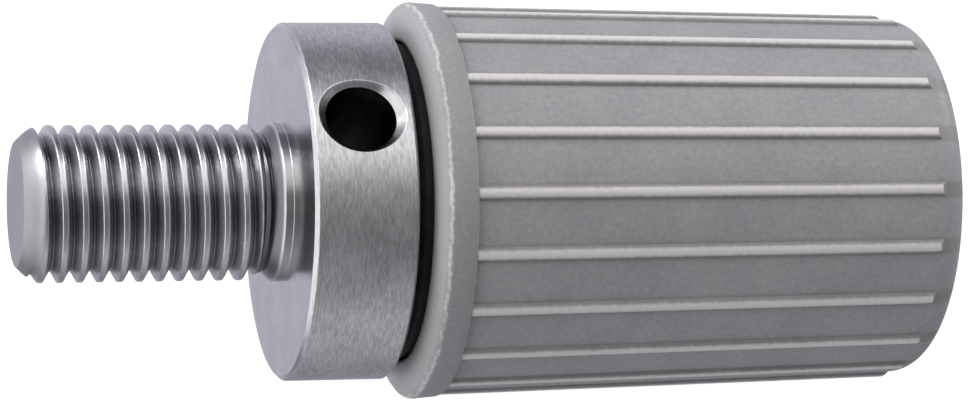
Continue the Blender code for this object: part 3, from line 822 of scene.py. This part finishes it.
def flange_profile():
    """x and radius over the flange: an elliptical lip up to its crown, and a flatter rear."""
    depth = FLANGE_CROWN - FLANGE_FRONT
    bend = np.linspace(0, np.pi / 2, 14)
    near_line = PARTING_LINE + np.linspace(-0.12, 0.12, 7)
    lip_x = np.sort(np.concatenate([FLANGE_CROWN - depth * np.cos(bend), near_line]))
    from_crown = np.clip((FLANGE_CROWN - lip_x) / depth, 0, 1)
    lip_radius = BORE_RADIUS + (FLANGE_RADIUS - BORE_RADIUS) * np.sqrt(1 - from_crown ** 2)
    lip = np.stack([lip_x, lip_radius], axis=-1)
    lip[0] = (FLANGE_FRONT + 0.04, BORE_RADIUS + 0.04)
    crown = np.array([(FLANGE_CROWN + 0.06, FLANGE_RADIUS), (FLANGE_CROWN + 0.16, FLANGE_RADIUS)])
    rear = np.array([(13.8, 20.03), (14.6, 19.97), (15.4, 19.92), (15.56, 19.905), (15.68, 19.88),
                     (15.76, 19.81), (15.79, 19.7), (FLANGE_REAR, 19.5)])
    return np.concatenate([lip, crown, rear])


# %% Sleeve
FLASH_HEIGHT = 0.035


def sleeve_rings():
    """Bore, flange and outside as rings, with the ribs and the mould line's flash added."""
    angles, local = sleeve_columns()
    bore = softened([(BORE_END, 0.6, 0), (BORE_END, BORE_RADIUS, 0.3), (12.4, BORE_RADIUS, 0)], 4.0) / MM
    outside = np.stack(sleeve_outside(), axis=-1)
    profile = np.concatenate([bore, flange_profile(), outside])
    along, radius = profile[:, :1], profile[:, 1:]
    is_outside = (np.arange(len(profile)) >= len(profile) - len(outside))[:, None]
    ribs = np.where(is_outside, rib_height(along, local), 0.0)
    flash = FLASH_HEIGHT * np.exp(-((along - PARTING_LINE) / 0.06) ** 2) * (radius > 19.5)
    uneven = 0.55 + 0.25 * np.sin(7 * angles + 1) + 0.2 * np.sin(31 * angles + 2.2)
    return ring_points(along * MM, (radius + ribs + flash * uneven) * MM, angles)


sleeve = closed_turning("ribbed_sleeve", sleeve_rings(), BORE_END * MM, GRIP_END * MM, grey_moulding)
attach(sleeve, "grip")
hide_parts("grip_sleeve")

# %% [markdown]
# # Dust seal
# Deep in the gap between collar and flange a black rubber disc keeps dirt out of the bearings. Its
# raised lip, near the rim and facing the collar, is the only part that catches light.


# %% Rubber and seal
def rubber_sockets(finish):
    grain = finish.patches(0.4, 4.0, 0.6)
    dust = finish.patches(2, 3.0)
    tone = finish.blend(dust.step(0.35, 0.75), colour(0.006, 0.006, 0.007), colour(0.018, 0.018, 0.019))
    return {"Base Color": tone, "Roughness": 0.55 + 0.2 * grain, "Specular IOR Level": 0.35,
            "Normal": finish.bump(grain, 0.02 * MM, 0.6)}


black_rubber = new_finish("black_rubber", rubber_sockets)
SEAL_BORE = 7.8
SEAL_FACE = SEAL_FRONT + 0.5
seal_corners = [
    (SEAL_REAR, SEAL_BORE, 0.1), (SEAL_REAR, SEAL_RADIUS, 0.1), (SEAL_FACE, SEAL_RADIUS, 0.15),
    (SEAL_FRONT, SEAL_RADIUS - 0.5, 0.2), (SEAL_FRONT, SEAL_RADIUS - 1.2, 0.2),
    (SEAL_FACE, SEAL_RADIUS - 1.7, 0.2), (SEAL_FACE, SEAL_BORE, 0.15),
]
seal_profile = softened(seal_corners, 1.2, loop=True)
seal = turned_ring("front_dust_seal", seal_profile[::-1], 128, black_rubber)
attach(seal, "grip")
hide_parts("dust_seal")

# %% [markdown]
# # The pieces inside
# The hub, bearings, spacer, washer and circlips are hidden when the grip is whole. Their shapes stay
# as they are, and each gets the finish of what it is made of: ground bearing steel with faint
# circular lines, blackened spring steel, moulded nylon.


# %% Inside finishes
def bearing_steel_sockets(finish):
    lines = turning_marks(finish, 0.05, 3.0)
    tone = finish.blend(lines.step(0.3, 0.7), colour(0.62, 0.62, 0.63), colour(0.74, 0.74, 0.75))
    return {"Base Color": tone, "Metallic": 1.0, "Roughness": 0.12 + 0.12 * lines,
            "Normal": finish.bump(lines, 0.002 * MM, 0.5)}


def spring_steel_sockets(finish):
    marks = turning_marks(finish, 0.3, 1.5)
    tone = finish.blend(marks.step(0.3, 0.75), colour(0.045, 0.045, 0.05), colour(0.13, 0.13, 0.14))
    return {"Base Color": tone, "Metallic": 0.85, "Roughness": 0.3 + 0.2 * marks,
            "Normal": finish.bump(marks, 0.01 * MM, 0.5)}


def nylon_sockets(dark, light):
    """The sockets of a moulded nylon between two tones."""
    def sockets(finish):
        cloud = finish.patches(1.5, 4.0)
        grain = finish.patches(0.2)
        return {"Base Color": finish.blend(cloud.step(0.3, 0.7), dark, light),
                "Roughness": 0.40 + 0.15 * grain, "Normal": finish.bump(grain, 0.01 * MM, 0.6)}
    return sockets


# %% Finishes by name
inside_finishes = {
    "bearing_steel": new_finish("bearing_steel", bearing_steel_sockets),
    "spring_steel": new_finish("spring_steel", spring_steel_sockets),
    "natural_nylon": new_finish("natural_nylon",
                                nylon_sockets(colour(0.66, 0.62, 0.52), colour(0.80, 0.77, 0.68))),
    "black_nylon": new_finish("black_nylon",
                              nylon_sockets(colour(0.020, 0.020, 0.021), colour(0.042, 0.042, 0.043))),
    "turned_steel": turned_steel,
}


# %% Finish of each inside piece
def inside_finish(node):
    """The finish a hidden node is made in, from the last words of its name."""
    if node.endswith("circlip"):
        return "spring_steel"
    if node.endswith("cage"):
        return "natural_nylon"
    if node == "hub_core":
        return "black_nylon"
    if node in ("spacer_tube", "end_washer"):
        return "turned_steel"
    return "bearing_steel"


REPLACED = ("spindle", "grip_sleeve", "dust_seal")
finished = {}
for node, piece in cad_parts.items():
    if node in REPLACED:
        continue
    kind = inside_finish(node)
    for slot in piece.material_slots:
        slot.material = inside_finishes[kind]
    finished[kind] = finished.get(kind, 0) + 1
print("inside pieces:", finished)

# %% [markdown]
# # Floor
# The grip lies on plain white paper. The paper glows a little so that it stays white, and it is
# hidden from the metal, which shows the tent instead.

# %% Floor
FLOOR_SIZE = 3.0
reach = FLOOR_SIZE / 2
floor_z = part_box("grip_sleeve")[0][2] - 0.1 * MM
floor_corners = [(-reach, -reach, floor_z), (reach, -reach, floor_z),
                 (reach, reach, floor_z), (-reach, reach, floor_z)]
floor_mesh = bpy.data.meshes.new("floor")
floor_mesh.from_pydata(floor_corners, [], [(0, 1, 2, 3)])
floor = bpy.data.objects.new("floor", floor_mesh)
scene.collection.objects.link(floor)
paper_material = bpy.data.materials.new("white_paper")
sheet = Finish(paper_material)
glow = sheet.node("ShaderNodeEmission", None, {"Color": colour(1, 1, 1), "Strength": 0.93})
dull = sheet.node("ShaderNodeBsdfDiffuse", None, {"Color": colour(0.3, 0.3, 0.3)})
both = sheet.node("ShaderNodeAddShader", None, {0: glow.outputs[0], 1: dull.outputs[0]})
sheet.node("ShaderNodeOutputMaterial", None, {"Surface": both.outputs[0]})
floor_mesh.materials.append(paper_material)
floor.visible_glossy = False
floor.visible_diffuse = False
floor.visible_shadow = False
print("floor at z", round(floor_z / MM, 2))
